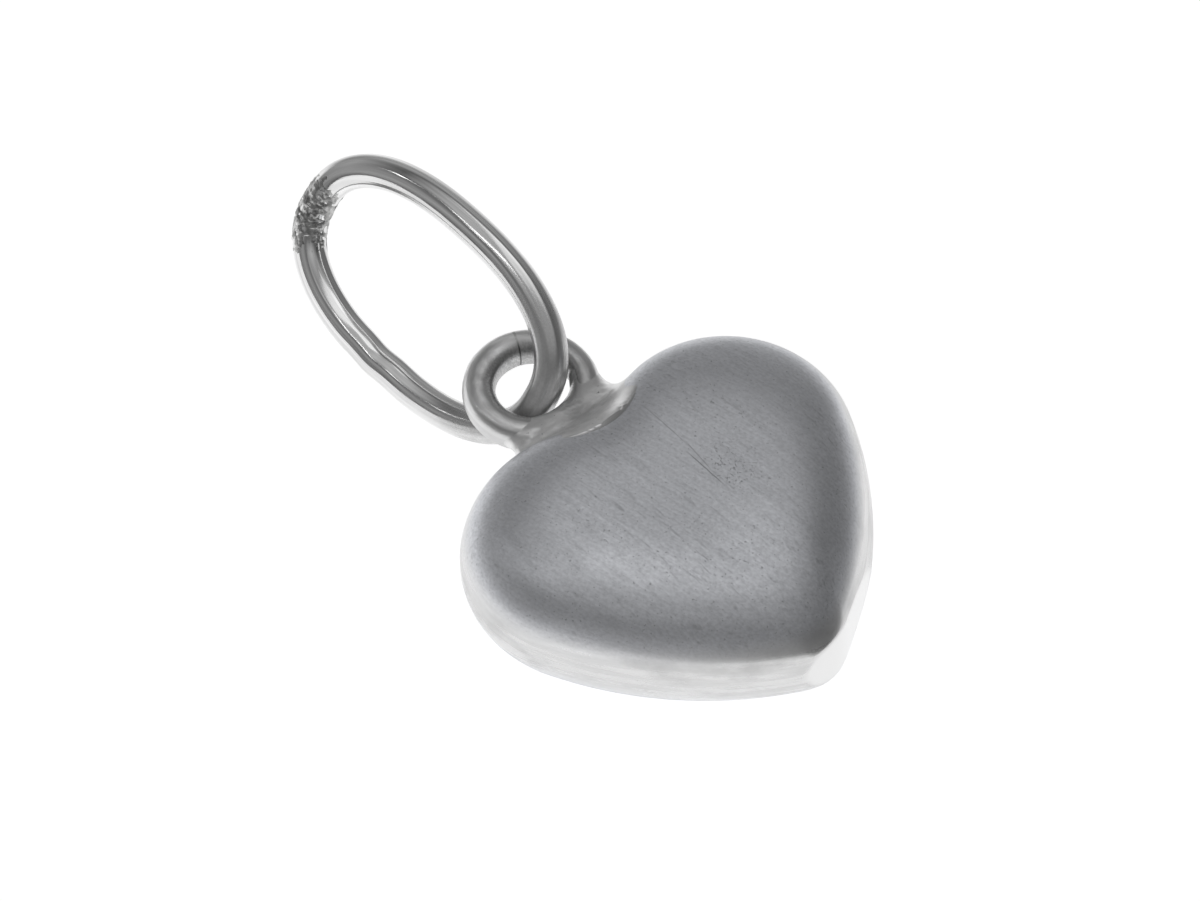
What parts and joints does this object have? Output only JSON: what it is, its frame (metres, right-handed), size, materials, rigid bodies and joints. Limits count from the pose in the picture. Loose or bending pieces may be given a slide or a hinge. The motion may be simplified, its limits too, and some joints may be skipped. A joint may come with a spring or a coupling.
{
  "type": "heart pendant",
  "caption": "Small hollow puffed heart of satin silver with a blunted tip, a wire eye soldered in its cleft and an oval wire bail linked through the eye.",
  "frame": {"origin": "middle of the small flat on the back on which the heart lies, on the table", "axes": "+X to the right of the heart seen from its front, +Y from the tip to the cleft, eye and bail, +Z out of the front"},
  "size_m": [0.012, 0.0211, 0.0047],
  "materials": {
    "satin_silver": "silver sheet, fine lengthwise brushing on the face, polished round the sides",
    "polished_silver": "silver wire, polished, lightly worn",
    "silver_solder": "silver solder, smoothed by hand, slightly dull"
  },
  "bodies": {
    "heart": {"front_shell": "satin_silver", "back_shell": "satin_silver", "seam_solder": "silver_solder", "eye_ring": "polished_silver", "eye_joint": "silver_solder", "eye_saddle": "silver_solder"},
    "bail": {"bail_wire": "polished_silver", "bail_joint": "silver_solder"}
  },
  "joints": [
    {"name": "bail_swing", "type": "hinge", "parent": "heart", "child": "bail", "pos_m": [0, 0.00607, 0.00228], "axis": [0, 0, 1], "range_deg": [-97, 91]}
  ]
}
